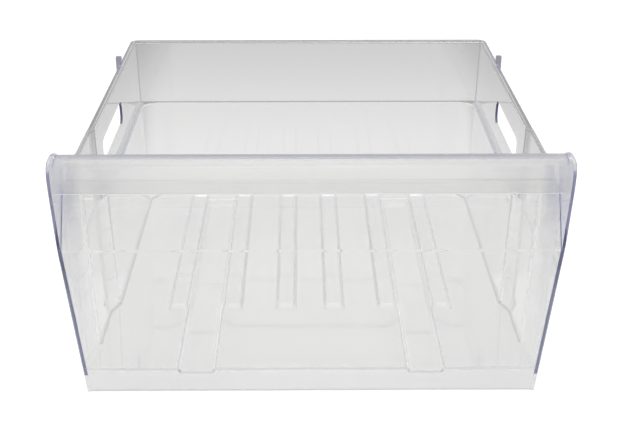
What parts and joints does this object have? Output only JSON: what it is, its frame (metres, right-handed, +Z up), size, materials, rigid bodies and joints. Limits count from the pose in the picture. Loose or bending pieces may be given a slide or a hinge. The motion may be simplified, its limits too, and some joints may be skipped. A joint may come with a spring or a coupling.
{
  "type": "freezer drawer",
  "caption": "Clear moulded freezer drawer: open tub with stepped walls, side hand slots and a ribbed floor, behind a taller front panel with a full-width pocket handle.",
  "frame": {"origin": "middle of the bounding box's footprint, at the height of the front panel's foot", "axes": "-Y towards the user through the front panel, +X across to the right as seen from the front, +Z up"},
  "size_m": [0.4198, 0.4206, 0.2315],
  "materials": {
    "clear_plastic": "clear polystyrene, glossy, faintly blue at its edges"
  },
  "bodies": {
    "root": {"drawer": "clear_plastic"}
  },
  "joints": []
}
